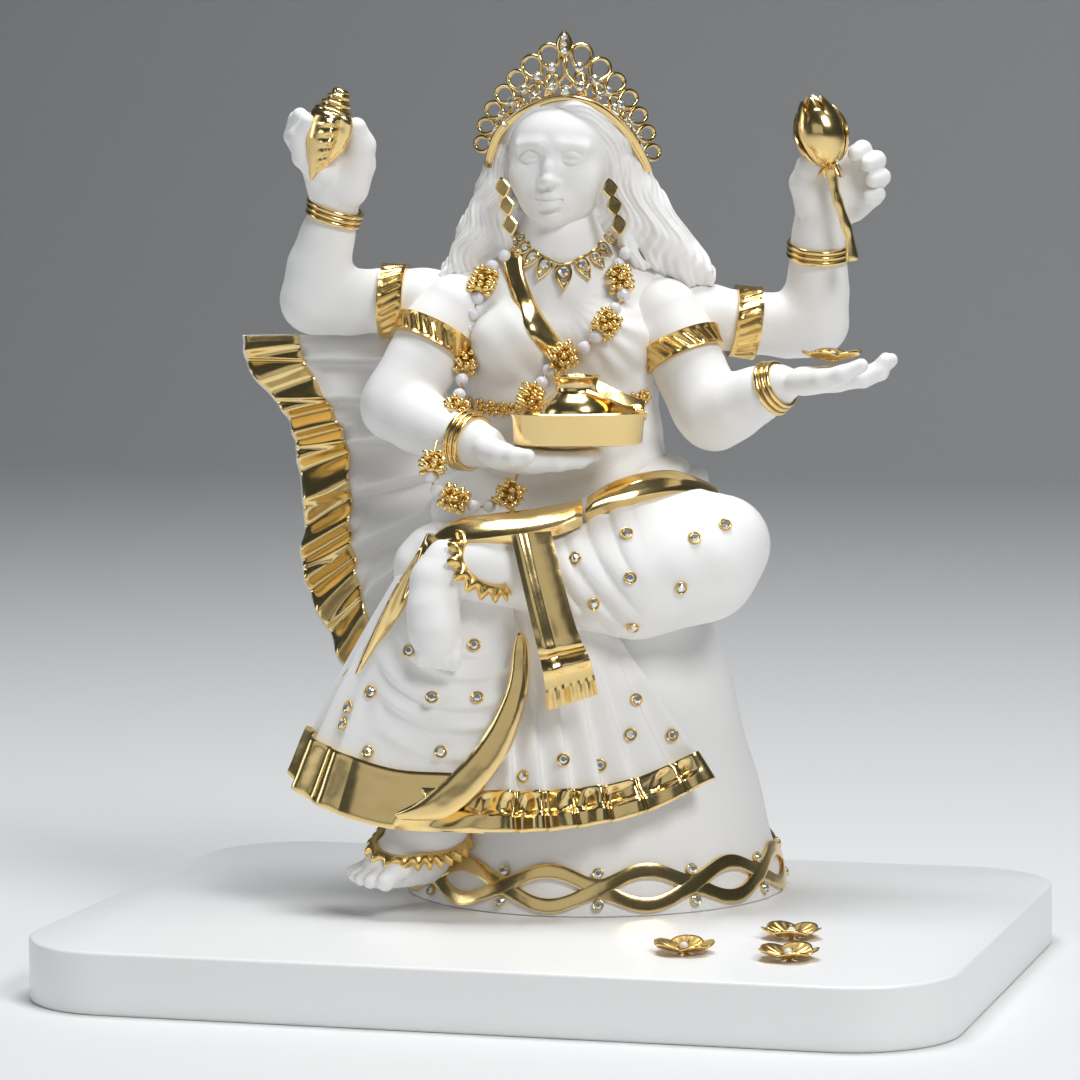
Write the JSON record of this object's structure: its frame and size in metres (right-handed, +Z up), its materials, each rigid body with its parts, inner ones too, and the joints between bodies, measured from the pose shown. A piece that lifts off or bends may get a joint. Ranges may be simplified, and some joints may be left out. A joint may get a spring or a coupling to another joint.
{
  "type": "seated goddess statuette",
  "caption": "Four-armed seated goddess statuette in white bisque porcelain with gilt trims, pearls and stones, on a round drum and a rounded white board.",
  "frame": {"origin": "centre of the board's underside", "axes": "+X along the board's width to the viewer's right, +Y along its depth away from the viewer, +Z up"},
  "size_m": [0.33, 0.245, 0.3346],
  "materials": {
    "bisque": "unglazed matte white bisque porcelain",
    "lacquer": "white satin lacquer on board",
    "polished_gold": "polished gold plate on brass",
    "worked_gold": "worked and ribbed gold plate, satin in the hollows",
    "pearl": "pearl-coated glass bead",
    "stone": "clear cut glass stone, foil backed"
  },
  "bodies": {
    "base": {"slab": "lacquer"},
    "figure": {"pedestal": "bisque", "pedestal_band": "polished_gold", "band_stones": "stone", "lap_drape": "bisque", "skirt": "bisque", "fan": "bisque", "torso": "bisque", "head": "bisque", "hair": "bisque", "rear_right_arm": "bisque", "rear_left_arm": "bisque", "front_right_arm": "bisque", "front_left_arm": "bisque", "crossed_leg": "bisque", "crossed_foot": "bisque", "standing_foot": "bisque", "crown_rim": "polished_gold", "crown_openwork": "polished_gold", "crown_finial": "polished_gold", "crown_stones": "stone", "earring_right": "polished_gold", "earring_left": "polished_gold", "necklace_links": "polished_gold", "necklace_stones": "stone", "garland_wire": "worked_gold", "garland_pearls": "pearl", "garland_flowers": "worked_gold", "chest_sash": "polished_gold", "waist_chain": "worked_gold", "rear_right_armlet": "worked_gold", "rear_left_armlet": "worked_gold", "front_right_armlet": "worked_gold", "front_left_armlet": "worked_gold", "rear_right_bangles": "polished_gold", "rear_left_bangles": "polished_gold", "front_right_bangles": "polished_gold", "front_left_bangles": "polished_gold", "anklet_crossed": "worked_gold", "anklet_standing": "worked_gold", "hip_border": "polished_gold", "side_border": "polished_gold", "hanging_sash": "polished_gold", "fold_border": "polished_gold", "hem_border_left": "polished_gold", "hem_border_right": "polished_gold", "fan_border": "polished_gold", "stud_settings": "polished_gold", "stud_stones": "stone", "conch": "polished_gold", "lotus_bud": "polished_gold", "lotus_stem": "polished_gold", "tray": "polished_gold", "pot": "polished_gold", "coins": "polished_gold"},
    "offering": {"palm_flower": "worked_gold"},
    "flower_1": {"loose_flower_1": "worked_gold"},
    "flower_2": {"loose_flower_2": "worked_gold"},
    "flower_3": {"loose_flower_3": "worked_gold"}
  },
  "joints": [
    {"name": "figure_lift", "type": "slide", "parent": "base", "child": "figure", "axis": [0, 0, 1], "range_m": [0, 0.06]},
    {"name": "palm_flower_lift", "type": "slide", "parent": "figure", "child": "offering", "axis": [0, 0, 1], "range_m": [0, 0.03]},
    {"name": "flower_1_lift", "type": "slide", "parent": "base", "child": "flower_1", "axis": [0, 0, 1], "range_m": [0, 0.04]},
    {"name": "flower_2_lift", "type": "slide", "parent": "base", "child": "flower_2", "axis": [0, 0, 1], "range_m": [0, 0.04]},
    {"name": "flower_3_lift", "type": "slide", "parent": "base", "child": "flower_3", "axis": [0, 0, 1], "range_m": [0, 0.04]}
  ]
}
